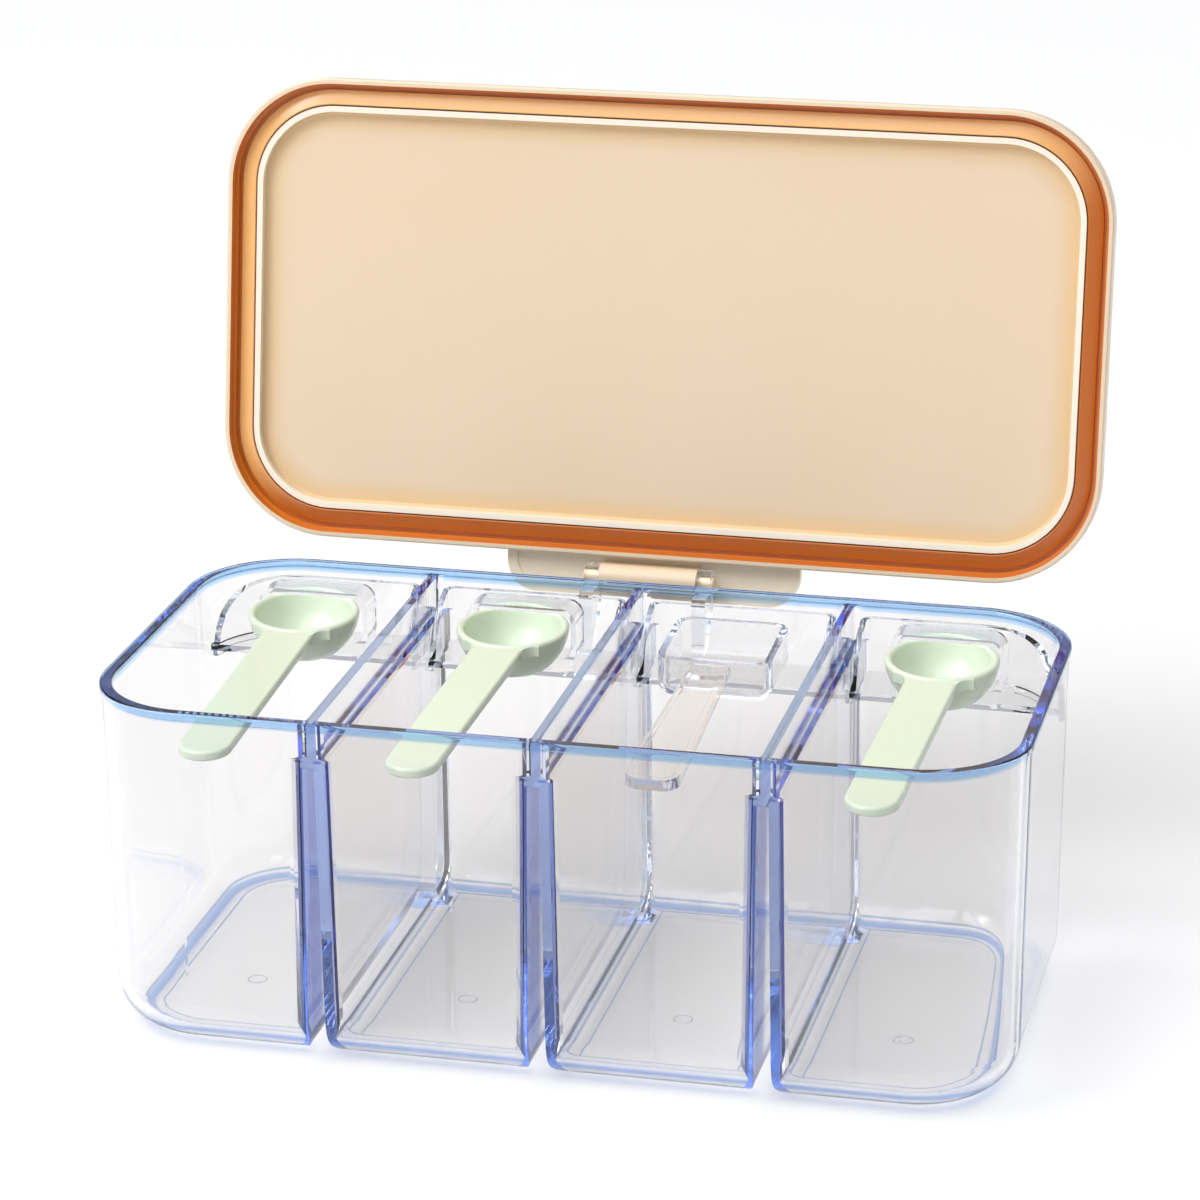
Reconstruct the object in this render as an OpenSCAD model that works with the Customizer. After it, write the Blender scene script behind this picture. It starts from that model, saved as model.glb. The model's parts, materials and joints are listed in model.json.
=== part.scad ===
// Four-compartment condiment caddy: one clear tub with four cups, one flip lid
// with a seal ring, four clear spoon rests and four spoons.
// Frame: X along the width, Y to the back, Z up, origin in the middle of the base.
// The lid is drawn open, leaning back against the stops of the hinge ears.

/* [Tub] */

// Width of the tub over its rim
rim_w = 258; // [236:1:282]
// Depth of the tub over its rim
rim_d = 132; // [122:1:146]
// Height of the tub from the table to the rim
tub_h = 100; // [92:0.5:112]
// Corner radius of the rim in plan
rim_r = 30; // [28:0.5:33]
// Thickness of the walls and the floor
wall = 3; // [2.8:0.1:3.2]
// How far the rim bead stands out from the wall
bead_out = 0.5; // [0.4:0.1:0.7]
// Height of the rim bead
bead_h = 2.2; // [1.6:0.1:3]
// Rounding of the rim's outer and inner edge
rim_edge = 0.7; // [0.4:0.1:0.7]
// Draft of the walls on each side over the full height
draft = 1.2; // [0.8:0.1:1.5]
// Fillet round the outside of the base
base_fillet = 13; // [11:0.5:14]
// Fillet round the inside of the base
floor_fillet = 10; // [9:0.5:11]

/* [Partitions] */

// How much shorter four pitches of the compartments are than the tub is wide
pitch_trim = 10; // [8:0.5:12]
// Thickness of the single web at the top of a partition
web_t = 2.7; // [2.4:0.1:3]
// How far the partitions stay below the rim
web_drop = 0.8; // [0.6:0.1:1.2]
// Depth from the rim down to the open slot
slot_drop = 13; // [12:0.5:14]
// Roof of plastic over the open slot
slot_roof = 2; // [1.8:0.1:2.4]
// Width of the open slot at its top
slot_w = 3.2; // [3:0.1:3.4]
// Thickness of the cup walls beside the slot
slot_wall = 1.7; // [1.6:0.1:1.9]
// Distance from the back rim to the closed end of the slot
slot_back = 21; // [19:0.5:24]
// Rounding of the cups' lower edges along the slot
slot_flare = 6; // [5:0.5:6.5]
// Fillet at the foot of a partition
foot_fillet = 5; // [4:0.5:6]
// Softening of the upright corners beside a partition
corner_soft = 3; // [2.5:0.5:3.5]

/* [Hinge] */

// Distance from the back rim to the hinge axis
hinge_back = 8; // [8:0.25:9.5]
// How far the hinge axis lies below the rim
hinge_drop = 2; // [1.8:0.1:2.2]
// Distance between the inner faces of the two ears
ear_gap = 29.6; // [28:0.2:32]
// Thickness of an ear
ear_t = 4; // [3.6:0.1:5]
// Radius of the eye at the top of an ear
eye_r = 4; // [3.8:0.1:4.1]
// Height of the ear's web along the wall
ear_h = 20.5; // [18:0.5:24]
// Radius of the stub pins on the lid's knuckle
pin_r = 1.8; // [1.6:0.1:2]
// Running clearance of a stub pin in its eye
pin_fit = 0.06; // [0.04:0.01:0.1]
// Side clearance between the knuckle and an ear
knuckle_side = 0.25; // [0.2:0.05:0.4]
// Angle that the lid swings open from closed
open_angle = 99; // [95:0.5:103]

/* [Lid] */

// Clearance between the rim and the lid's skirt
skirt_gap = 0.35; // [0.3:0.05:0.5]
// Thickness of the lid's skirt
skirt_t = 1.5; // [1.3:0.1:1.7]
// How far the skirt reaches down over the rim
skirt_reach = 2.8; // [2.5:0.1:3]
// Height of the lid's top above the rim
lid_rise = 5.8; // [5.4:0.1:6.4]
// Thickness of the lid's middle panel
panel_t = 2.6; // [2.2:0.1:3]
// Rounding of the lid's outer top edge
lid_edge_r = 3.4; // [2.5:0.1:4]
// Width of the flat edge inside the skirt
edge_w = 0.9; // [0.7:0.1:1.1]
// Height from the rim to the parts of the lid above it
rim_clear = 0.35; // [0.3:0.05:0.45]
// Width of the seal ring
seal_w = 4.4; // [4:0.1:4.8]
// Height of the seal ring
seal_h = 2.4; // [2.2:0.1:2.6]
// Clearance of the closed seal over the rim
seal_clear = 0.15; // [0.12:0.01:0.2]
// Clearance between the seal's back and the bottom of its channel
seal_seat = 0.05; // [0.03:0.01:0.1]
// Open groove outside the seal ring
seal_groove = 1; // [0.8:0.1:1.2]
// Thin gap inside the seal ring
seal_gap = 0.4; // [0.3:0.1:0.5]
// Width of the raised lip inside the seal
lip_w = 1.7; // [1.5:0.1:2]

/* [Lid tab] */

// Width of the tab where it leaves the lid
tab_w = 88; // [80:1:100]
// How far the tab reaches past the hinge axis
tab_reach = 6.1; // [5.5:0.1:6.6]
// Corner radius of the tab
tab_r = 9; // [6:0.5:11]
// Distance from the hinge axis to the tab's border
tab_rise = 4.2; // [4.2:0.05:4.5]
// Thickness of the tab in its field
tab_t = 2.3; // [2:0.1:2.6]
// Width of the raised border of the tab
tab_border = 3; // [2.5:0.1:3.5]
// Height of the raised border of the tab
tab_border_h = 0.6; // [0.4:0.1:0.7]

/* [Spoon rests] */

// Depth from the rim down to the rest's shelf
shelf_drop = 20; // [19.5:0.5:21]
// Thickness of the shelf
shelf_t = 2; // [1.6:0.1:2.2]
// Distance from the back rim to the shelf's front edge
shelf_back = 25; // [24:0.5:26]
// Thickness of the rest's upright sheet
sheet_t = 1.7; // [1.5:0.1:1.9]
// Height of the sheet above the shelf
sheet_h = 16; // [15:0.5:16.5]
// Radius of the arc that cuts the sheet's ends
sheet_arc = 19.5; // [19:0.5:21]
// Clearance between a rest and the tub
rest_gap = 0.2; // [0.15:0.05:0.3]
// Inner width of the hood over the bowl
hood_w = 30; // [29.6:0.1:31]
// Depth of the hood from the back sheet to its front edge
hood_d = 9.8; // [9:0.1:10]
// Wall thickness of the hood
hood_t = 1.5; // [1.3:0.1:1.6]
// Inner height of the hood above the shelf
hood_h = 13.8; // [13.7:0.1:14.2]
// Outer corner radius of the hood
hood_r = 4.5; // [3.5:0.25:5]
// How far the hoods and spoons sit to the left of their compartments
spoon_shift = 2; // [0:0.5:3]

/* [Round spoons] */

// Outer radius of the bowl
bowl_r = 16.3; // [15.9:0.1:16.4]
// Height of the bowl up to its rounded rim
bowl_h = 11; // [10.6:0.1:11]
// Wall thickness of the bowl
bowl_wall = 2.2; // [1.9:0.1:2.3]
// Distance from the back rim to the bowl's centre
bowl_back = 23.6; // [23.4:0.1:24]
// Distance between the front rim and the handle's end
handle_front = 7.9; // [7.5:0.1:14]
// Width of the handle
handle_w = 15; // [13:0.5:16]
// Thickness of the handle
handle_t = 3; // [2.6:0.1:3.2]
// Rounding of the handle's long edges
handle_edge = 1; // [0.6:0.1:1.2]
// Rounding where the handle meets the bowl
neck_r = 4; // [3:0.5:5]
// Downward tilt of the spoons toward the front
spoon_tilt = 3; // [2.5:0.25:3]

/* [Clear spoon] */

// Outer width of the rectangular bowl
scoop_w = 33; // [31:0.5:34]
// Outer length of the rectangular bowl
scoop_l = 32; // [30:0.5:33]
// Depth of the rectangular bowl
scoop_h = 12; // [11:0.5:13]
// Corner radius of the rectangular bowl
scoop_r = 5; // [4.5:0.5:6.5]
// Wall thickness of the rectangular bowl
scoop_wall = 2; // [1.8:0.1:2.3]
// Width of the clear handle at its neck
scoop_neck_w = 10.5; // [9.5:0.5:12]

/* [Hidden] */

$fn = 64;

// Lean of a drafted wall from upright.
lean = atan(draft / tub_h);
// Corner centres shared by the tub, its rim and the lid.
corner_x = rim_w / 2 - rim_r;
corner_y = rim_d / 2 - rim_r;
// Radius of the outer wall and of the inner wall at the rim.
shell_r = rim_r - bead_out;
cavity_r = shell_r - wall;
// Pitch of the compartments and the closed end of the slots.
cup_pitch = (rim_w - pitch_trim) / 4;
slot_reach = rim_d / 2 - slot_back;
// Heights in a partition.
slot_z = tub_h - slot_drop;
roof_z = slot_z + slot_roof;
web_z = tub_h - web_drop;
fin_half = slot_w / 2 + slot_wall;
// Hinge axis and directions of the open lid.
hinge_y = rim_d / 2 + hinge_back;
hinge_z = tub_h - hinge_drop;
lean_back = open_angle - 90;
// Lid levels and its outer corner radius.
lid_r = rim_r + skirt_gap + skirt_t;
lid_low = tub_h - skirt_reach;
lid_top = tub_h + lid_rise;
panel_z = lid_top - panel_t;
seal_z = tub_h + seal_clear;
seal_top = seal_z + seal_h;
over_rim = tub_h + rim_clear;
seal_out = lid_r - skirt_t - edge_w - seal_groove;
seal_in = seal_out - seal_w;
lip_out = seal_in - seal_gap;
lip_in = lip_out - lip_w;
tab_z = hinge_z + tab_rise;
// Middles of the four compartments and the yaw of each spoon in its rest.
cups = [-1.5 * cup_pitch - 1, -0.5 * cup_pitch, 0.5 * cup_pitch, 1.5 * cup_pitch + 1];
yaws = [0.5, -2.2, 0, -2];
// Shelf of the rests, the bowls on it and the length of a spoon.
shelf_z = tub_h - shelf_drop;
shelf_front = rim_d / 2 - shelf_back;
bowl_y = rim_d / 2 - bowl_back;
spoon_reach = bowl_y + rim_d / 2 - handle_front;
// Inner face of the back wall at the shelf.
back_y = corner_y + drafted(cavity_r, shelf_z) - rest_gap;
sheet_y = back_y - sheet_t;

// Rearmost point of the open lid, and the middle between it and the front rim.
edge_dy = -(hinge_y + corner_y + lid_r - lid_edge_r);
edge_dz = lid_top - lid_edge_r - hinge_z;
rear_y = hinge_y + edge_dy * cos(open_angle) + edge_dz * sin(open_angle) + lid_edge_r;
mid_y = (rear_y - rim_d / 2) / 2;

// Radius that a drafted wall has at height z, when it is r at the rim.
function drafted(r, z) = r - draft * (tub_h - z) / tub_h;

// Half the width of a partition's fin at height z.
function fin_at(z) = fin_half + draft * (roof_z - z) / tub_h;

// Sets the origin under the middle of the whole part as it stands open.
module placed() {
  translate([0, -mid_y, 0]) children();
}

// Profile from a corner centre out to a drafted wall, with a rounded foot.
module wall_profile(r, z0, z1, foot) {
  cx = drafted(r, z0 + foot) - foot / cos(lean);
  polygon([[0, z0], [cx, z0],
           [cx + foot * cos(lean), z0 + foot - foot * sin(lean)],
           [drafted(r, z1), z1], [0, z1]]);
  intersection() {
    translate([cx, z0 + foot]) circle(foot);
    translate([cx, z0]) square(foot);
  }
}

// Carries a profile round the four corners and along the four sides.
module all_round(hx = corner_x, hy = corner_y) {
  for (k = [0 : 3]) {
    a = k % 2 == 0 ? hx : hy;
    b = k % 2 == 0 ? hy : hx;
    rotate([0, 0, 90 * k]) {
      translate([a, b, 0]) rotate_extrude(angle = 90) children();
      translate([-a, b, 0]) rotate([90, 0, 90]) linear_extrude(2 * a) children();
    }
  }
}

// Block between the corner centres.
module core(z0, z1, hx = corner_x, hy = corner_y) {
  translate([-hx, -hy, z0]) cube([2 * hx, 2 * hy, z1 - z0]);
}

// Rounded rectangle with its middle at the origin.
module round_rect(w, d, r) {
  square([w - 2 * r, d], center = true);
  square([w, d - 2 * r], center = true);
  for (sx = [-1, 1], sy = [-1, 1])
    translate([sx * (w / 2 - r), sy * (d / 2 - r)]) circle(r);
}

// Extrudes a profile drawn in Y and Z along X.
module along_x(x0, x1) {
  translate([x0, 0, 0]) rotate([90, 0, 90]) linear_extrude(x1 - x0) children();
}

// Extrudes a profile drawn in X and Z along Y.
module along_y(y0, y1) {
  translate([0, y1, 0]) rotate([90, 0, 0]) linear_extrude(y1 - y0) children();
}

// Outer form of the tub up to the rounding of its rim.
module tub_outside() {
  all_round() wall_profile(shell_r, 0, tub_h - rim_edge, base_fillet);
  core(0, tub_h - rim_edge);
}

// The whole hollow of the tub, before the partitions are put in.
module tub_hollow() {
  all_round() wall_profile(cavity_r, wall, tub_h + 1, floor_fillet);
  core(wall, tub_h + 1);
}

// Rounded rim with a bead round its outside.
module rim_bead() {
  r0 = cavity_r - 0.03;
  e = rim_edge;
  all_round() {
    translate([r0 + e, tub_h - 1.5 * e]) square([rim_r - r0 - 2 * e, 1.5 * e]);
    for (r = [r0 + e, rim_r - e]) translate([r, tub_h - e]) circle(e);
    difference() {
      translate([r0 + 1, tub_h - bead_h]) square([rim_r - r0 - 1, bead_h - e]);
      translate([rim_r, tub_h - bead_h]) rotate(45) square(0.5, center = true);
    }
  }
}

// Section of a partition: thin web, then the wider fin with rounded feet.
module partition_section() {
  low = wall + foot_fillet;
  fx = fin_at(low) + foot_fillet - 0.06;
  fz = low - 0.06;
  translate([-web_t / 2, roof_z - 1]) square([web_t, web_z - roof_z + 1]);
  polygon([[-fin_at(wall - 1), wall - 1], [fin_at(wall - 1), wall - 1],
           [fin_half, roof_z], [-fin_half, roof_z]]);
  difference() {
    translate([-fx, wall - 1]) square([2 * fx, foot_fillet + 1]);
    for (s = [-1, 1]) translate([s * fx, fz]) circle(foot_fillet);
  }
}

// Softened upright corner between a partition and the front or back wall.
module corner_blend(x0, z0, z1, tilt) {
  c = corner_soft;
  arc = [for (k = [0 : 4]) [c - 0.03 - c * cos(22.5 * k), 0.03 - c + c * sin(22.5 * k)]];
  for (sx = [0, 1], sy = [0, 1])
    mirror([sx, 0, 0]) mirror([0, sy, 0])
      translate([x0, corner_y + drafted(cavity_r, z0), z0])
        rotate([-lean, -tilt, 0]) linear_extrude(z1 - z0)
          polygon(concat([[-0.8, 0.03 - c]], arc, [[c - 0.03, 0.8], [-0.8, 0.8]]));
}

// One partition with its softened corners.
module partition() {
  along_y(-rim_d / 2 + 2.6, rim_d / 2 - 2.6) partition_section();
  corner_blend(web_t / 2, roof_z - 0.5, web_z - 0.1, 0);
  corner_blend(fin_at(wall + 1), wall + 1, roof_z - 0.15, lean);
}

// The open slot between two cups, open at the front and underneath.
module slot() {
  top = slot_w / 2;
  low = top + draft * slot_z / tub_h;
  along_y(-rim_d, slot_reach) {
    polygon([[-low, -1], [low, -1], [top, slot_z], [-top, slot_z]]);
    difference() {
      translate([-low - slot_flare, -1]) square([2 * (low + slot_flare), slot_flare + 1]);
      for (s = [-1, 1])
        translate([s * (low + slot_flare), slot_flare]) circle(slot_flare);
    }
  }
}

// Ledges inside the partitions' and end walls' faces that carry the rests.
module rest_ledges() {
  z1 = shelf_z - shelf_t;
  for (x = [-cup_pitch, 0, cup_pitch])
    for (s = [-1, 1])
      translate([x + s * (fin_at(z1) + 0.3) - 0.9, shelf_front + 2, z1 - 2])
        cube([1.8, 17, 2]);
  for (s = [0, 1]) mirror([s, 0, 0])
    translate([corner_x, corner_y, z1 - 2]) rotate([0, 0, 14])
      rotate_extrude(angle = 48) translate([cavity_r - 1.8, 0]) square([2.8, 2]);
}

// Ear of the hinge: a web down the wall, a slanted stop and an eye.
module ear_section() {
  ax = [hinge_y, hinge_z];
  n = [cos(lean_back), -sin(lean_back)];
  d = [-sin(lean_back), -cos(lean_back)];
  stop = ax + eye_r * n;
  foot_z = hinge_z - 2 - ear_h;
  polygon([[rim_d / 2 - 2, foot_z], [rim_d / 2 + 0.4, foot_z],
           stop + 8 * d, stop, ax, [hinge_y - 3, hinge_z - 1.8],
           [rim_d / 2 - 2, hinge_z - 1.8]]);
  translate(ax) circle(eye_r);
}

// Both ears on the back wall.
module ears() {
  for (s = [0, 1]) mirror([s, 0, 0])
    along_x(ear_gap / 2, ear_gap / 2 + ear_t) ear_section();
}

// Bores of the two eyes.
module eye_bores() {
  translate([-ear_gap / 2 - ear_t - 1, hinge_y, hinge_z]) rotate([0, 90, 0])
    cylinder(r = pin_r + pin_fit, h = ear_gap + 2 * ear_t + 2);
}

module tub() {
  color("lightsteelblue") placed() difference() {
    union() {
      difference() {
        tub_outside();
        tub_hollow();
      }
      rim_bead();
      intersection() {
        tub_outside();
        for (x = [-cup_pitch, 0, cup_pitch]) translate([x, 0, 0]) partition();
      }
      rest_ledges();
      ears();
    }
    for (x = [-cup_pitch, 0, cup_pitch]) translate([x, 0, 0]) slot();
    eye_bores();
  }
}

// Turns what is drawn closed over the tub into the open position.
module opened() {
  translate([0, hinge_y, hinge_z]) rotate([-open_angle, 0, 0])
    translate([0, -hinge_y, -hinge_z]) children();
}

// Section of the lid from its corner centre out to the skirt.
module lid_section() {
  e = lid_edge_r;
  difference() {
    union() {
      translate([0, lid_low]) square([lid_r, lid_top - lid_low - e]);
      translate([0, lid_low]) square([lid_r - e, lid_top - lid_low]);
      translate([lid_r - e, lid_top - e]) circle(e);
    }
    translate([-1, lid_low - 1]) square([lid_r - skirt_t + 1, over_rim - lid_low + 1]);
    translate([lip_out, over_rim - 1])
      square([seal_out + seal_groove - lip_out, seal_top + seal_seat - over_rim + 1]);
    translate([-1, over_rim - 1]) square([lip_in + 1 - 1.2, panel_z - over_rim + 1]);
    translate([-1, over_rim - 1]) square([lip_in + 1, panel_z - over_rim + 1 - 1.2]);
    translate([lip_in - 1.2, panel_z - 1.2]) circle(1.2);
    translate([lid_r, lid_low]) rotate(45) square(0.7, center = true);
  }
}

// Outline of the tab in plan, drawn behind the lid.
module tab_outline(inset) {
  y1 = hinge_y + tab_reach - inset;
  y0 = rim_d / 2 + skirt_gap + 0.4;
  w = tab_w - 2 * inset;
  r = tab_r - inset;
  translate([-w / 2, y0]) square([w, y1 - y0 - r]);
  translate([-w / 2 + r, y0]) square([w - 2 * r, y1 - y0]);
  intersection() {
    for (s = [-1, 1]) translate([s * (w / 2 - r), y1 - r]) circle(r);
    translate([-w / 2, y0]) square([w, y1 - y0]);
  }
}

// The flat tab behind the lid with its raised border.
module tab() {
  difference() {
    translate([0, 0, tab_z]) linear_extrude(tab_t + tab_border_h) tab_outline(0);
    translate([0, 0, tab_z - 1]) linear_extrude(tab_border_h + 1) difference() {
      tab_outline(tab_border);
      translate([-tab_w, rim_d / 2]) square([2 * tab_w, skirt_gap + skirt_t + 1.2]);
    }
  }
}

// Knuckle between the ears with a stub pin at each end.
module knuckle() {
  half = ear_gap / 2 - knuckle_side;
  along_x(-half, half) {
    translate([hinge_y, hinge_z]) circle(eye_r);
    translate([hinge_y - eye_r, hinge_z])
      square([2 * eye_r, tab_rise + tab_border_h + 0.5]);
  }
  for (s = [0, 1]) mirror([s, 0, 0]) translate([half - 1, hinge_y, hinge_z])
    rotate([0, 90, 0]) {
      cylinder(r = pin_r, h = 1 + knuckle_side + ear_t + 0.4);
      translate([0, 0, 1 + knuckle_side + ear_t + 0.4])
        cylinder(r1 = pin_r, r2 = pin_r - 0.4, h = 0.4);
    }
}

module lid() {
  color("bisque") placed() opened() {
    all_round() lid_section();
    core(panel_z, lid_top);
    tab();
    knuckle();
  }
}

module lid_seal() {
  e = 0.6;
  color("chocolate") placed() opened() all_round() {
    translate([seal_in, seal_z + e]) square([seal_w, seal_h - e]);
    translate([seal_in + e, seal_z]) square([seal_w - 2 * e, seal_h]);
    for (x = [seal_in + e, seal_out - e]) translate([x, seal_z + e]) circle(e);
  }
}

// Plan of compartment i at the shelf, drawn in by some inset.
module rest_plan(i, inset) {
  g = rest_gap + inset;
  r = drafted(cavity_r, shelf_z) - g;
  side = fin_at(shelf_z - shelf_t) + g;
  x0 = i == 0 ? -rim_w / 2 : (i - 2) * cup_pitch + side;
  x1 = i == 3 ? rim_w / 2 : (i - 1) * cup_pitch - side;
  y0 = inset > 0 ? shelf_front - 2 : shelf_front;
  y1 = corner_y + r;
  c = corner_soft + 0.4 - inset;
  intersection() {
    round_rect(2 * (corner_x + r), 2 * (corner_y + r), r);
    union() {
      translate([x0, y0]) square([x1 - x0, y1 - y0 - c]);
      translate([x0 + c, y0]) square([x1 - x0 - 2 * c, y1 - y0]);
      for (x = [x0 + c, x1 - c]) translate([x, y1 - c]) circle(c);
    }
  }
}

// Section of the hood: a rounded sleeve that stands on the shelf.
module hood_section() {
  w = hood_w + 2 * hood_t;
  h = hood_h + hood_t + shelf_t;
  difference() {
    translate([0, shelf_z - shelf_t + h / 2]) round_rect(w, h, hood_r);
    translate([0, shelf_z + hood_h / 2]) round_rect(hood_w, hood_h, hood_r - hood_t);
  }
}

// One clear insert: shelf, upright sheet with arched ends and, if asked, a hood.
module spoon_rest(i, hood) {
  z0 = shelf_z - shelf_t;
  color("azure") placed() {
    translate([0, 0, z0]) linear_extrude(shelf_t) rest_plan(i, 0);
    intersection() {
      translate([0, 0, z0 + 0.5]) linear_extrude(sheet_h + 4) difference() {
        rest_plan(i, 0);
        rest_plan(i, sheet_t);
      }
      translate([-rim_w / 2, back_y, shelf_z + sheet_h - sheet_arc])
        rotate([0, 90, 0]) cylinder(r = sheet_arc, h = rim_w, $fn = 96);
    }
    if (hood) intersection() {
      translate([cups[i] - spoon_shift, 0, 0])
        along_y(sheet_y - hood_d, sheet_y + 0.6) hood_section();
      translate([0, 0, z0 - 1]) linear_extrude(hood_h + 6) rest_plan(i, sheet_t / 2);
    }
  }
}

module spoon_rest_1() { spoon_rest(0, true); }
module spoon_rest_2() { spoon_rest(1, true); }
module spoon_rest_3() { spoon_rest(2, false); }
module spoon_rest_4() { spoon_rest(3, true); }

// Puts a spoon drawn at the origin onto the shelf of compartment i.
module in_rest(i, foot_r) {
  translate([cups[i] - spoon_shift, bowl_y, shelf_z + foot_r * sin(spoon_tilt) + 0.01])
    rotate([spoon_tilt, 0, 0]) rotate([0, 0, yaws[i]]) children();
}

// Section of the round bowl's outside, flat underneath.
module bowl_outside() {
  intersection() {
    translate([0, bowl_h + 2]) circle(sqrt(bowl_r * bowl_r + 4));
    square([bowl_r + 1, bowl_h]);
  }
  translate([bowl_r - bowl_wall / 2, bowl_h]) circle(bowl_wall / 2);
}

// Section of the round bowl's hollow.
module bowl_inside() {
  r = bowl_r - bowl_wall;
  intersection() {
    translate([0, bowl_h + 2]) circle(sqrt(r * r + 4));
    translate([0, bowl_wall - 0.3]) square([r + 1, bowl_h + 4]);
  }
}

// Radius of the flat under the bowl.
foot_flat = sqrt(bowl_r * bowl_r + 4 - (bowl_h + 2) * (bowl_h + 2));

// Plan of the flared neck between the bowl and the handle.
module neck_plan() {
  r = handle_w / 2;
  root = sqrt(pow(bowl_r + neck_r, 2) - pow(r + neck_r, 2));
  difference() {
    translate([-r - neck_r, -root]) square([2 * (r + neck_r), root - 8]);
    for (s = [-1, 1]) translate([s * (r + neck_r), -root]) circle(neck_r);
  }
}

// Handle with rounded edges and a round end, its top face at height 0.
module handle_bar() {
  r = handle_w / 2;
  along_y(r - spoon_reach, -6) translate([0, -handle_t / 2])
    round_rect(handle_w, handle_t, handle_edge);
  translate([0, r - spoon_reach, 0]) rotate_extrude() {
    translate([0, -handle_t]) square([r - handle_edge, handle_t]);
    translate([0, handle_edge - handle_t]) square([r, handle_t - 2 * handle_edge]);
    for (z = [-handle_edge, handle_edge - handle_t])
      translate([r - handle_edge, z]) circle(handle_edge);
  }
}

// A round spoon with its bowl's foot at the origin and its handle toward -Y.
module round_spoon() {
  top = bowl_h + bowl_wall / 2 - 0.5;
  difference() {
    union() {
      rotate_extrude() bowl_outside();
      difference() {
        union() {
          translate([0, 0, top]) handle_bar();
          translate([0, 0, top - handle_t]) linear_extrude(handle_t) neck_plan();
        }
        cylinder(r = bowl_r - bowl_wall / 2, h = 2 * bowl_h);
      }
    }
    rotate_extrude() bowl_inside();
  }
}

module spoon_1() { color("honeydew") placed() in_rest(0, foot_flat) round_spoon(); }
module spoon_2() { color("honeydew") placed() in_rest(1, foot_flat) round_spoon(); }
module spoon_4() { color("honeydew") placed() in_rest(3, foot_flat) round_spoon(); }

// Section of the rectangular bowl from a corner centre, with a rounded foot.
module scoop_section(r, z0, z1, foot) {
  square([r - foot, z1 - z0]);
  translate([0, foot]) square([r, z1 - z0 - foot]);
  translate([r - foot, foot]) intersection() {
    circle(foot);
    translate([0, -foot]) square(foot);
  }
}

// The rectangular bowl as a rounded tray.
module scoop_tray() {
  hx = scoop_w / 2 - scoop_r;
  hy = scoop_l / 2 - scoop_r;
  ri = scoop_r - scoop_wall;
  difference() {
    union() {
      all_round(hx, hy) scoop_section(scoop_r, 0, scoop_h, 3.5);
      core(0, scoop_h, hx, hy);
    }
    translate([0, 0, scoop_wall - 0.2]) {
      all_round(hx, hy) scoop_section(ri, 0, scoop_h, 2);
      core(0, scoop_h, hx, hy);
    }
  }
}

// The clear spoon: a rectangular bowl and a handle with raised edges.
module clear_spoon() {
  y0 = -scoop_l / 2;
  y1 = 10.5 - spoon_reach;
  w0 = scoop_neck_w / 2;
  w1 = handle_w / 2;
  t = handle_t + 0.4;
  scoop_tray();
  difference() {
    translate([0, 0, scoop_h - t]) linear_extrude(t) {
      polygon([[-w0, y0 + 0.8], [w0, y0 + 0.8], [w1, y1], [-w1, y1]]);
      translate([-w1 + 5, y1 - 5]) square([2 * w1 - 10, 6]);
      for (s = [-1, 1]) translate([s * (w1 - 5), y1]) circle(5);
    }
    translate([0, 0, scoop_h - 0.7]) linear_extrude(2) {
      polygon([[1.4 - w0, y0 - 5], [w0 - 1.4, y0 - 5], [w1 - 1.6, y1], [1.6 - w1, y1]]);
      for (s = [-1, 1]) translate([s * (w1 - 5), y1]) circle(3.4);
      translate([-w1 + 5, y1 - 3.4]) square([2 * w1 - 10, 4]);
    }
  }
}

module spoon_3() {
  color("aliceblue") placed() in_rest(2, scoop_l / 2 - 3.5) clear_spoon();
}

tub();
lid();
lid_seal();
spoon_rest_1();
spoon_rest_2();
spoon_rest_3();
spoon_rest_4();
spoon_1();
spoon_2();
spoon_3();
spoon_4();
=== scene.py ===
"""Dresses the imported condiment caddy.

It has a clear tub and rests, mint and clear spoons, a cream lid and an amber seal. Every piece
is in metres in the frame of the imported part: X along the row of cups, Y to the back where the
lid is hinged, Z up. The seal is laid out closed and then swung open.
"""

import json
import logging
import math
from dataclasses import dataclass, field
from enum import Enum
from typing import Callable

import bpy
from mathutils import Matrix, Vector

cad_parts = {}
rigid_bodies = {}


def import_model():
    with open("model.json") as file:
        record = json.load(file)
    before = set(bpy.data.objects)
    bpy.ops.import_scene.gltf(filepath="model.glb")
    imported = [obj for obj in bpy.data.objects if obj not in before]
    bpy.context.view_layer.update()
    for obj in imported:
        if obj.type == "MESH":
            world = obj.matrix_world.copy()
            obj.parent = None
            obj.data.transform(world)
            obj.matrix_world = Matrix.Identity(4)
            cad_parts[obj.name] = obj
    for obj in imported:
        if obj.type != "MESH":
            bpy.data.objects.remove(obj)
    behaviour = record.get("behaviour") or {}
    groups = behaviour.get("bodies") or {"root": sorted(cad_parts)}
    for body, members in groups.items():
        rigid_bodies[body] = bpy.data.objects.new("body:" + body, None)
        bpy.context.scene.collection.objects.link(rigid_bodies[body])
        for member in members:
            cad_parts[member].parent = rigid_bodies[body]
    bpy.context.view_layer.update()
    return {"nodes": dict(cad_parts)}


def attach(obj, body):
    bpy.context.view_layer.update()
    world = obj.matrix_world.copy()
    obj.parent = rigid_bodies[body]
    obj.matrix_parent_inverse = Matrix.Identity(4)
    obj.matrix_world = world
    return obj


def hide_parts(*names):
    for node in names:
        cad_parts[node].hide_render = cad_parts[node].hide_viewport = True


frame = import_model()

log = logging.getLogger("caddy")
MM = 0.001
WELD_PER_METRE = 2e6
GRAIN_REACH = 0.0001

Colour = tuple[float, float, float]
Point = tuple[float, float, float]
Socket = bpy.types.NodeSocket
PaintedLightZones = Callable[["Bench"], list[tuple[Socket, Colour]]]
PaintedShading = Callable[["Bench"], Socket]


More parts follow.
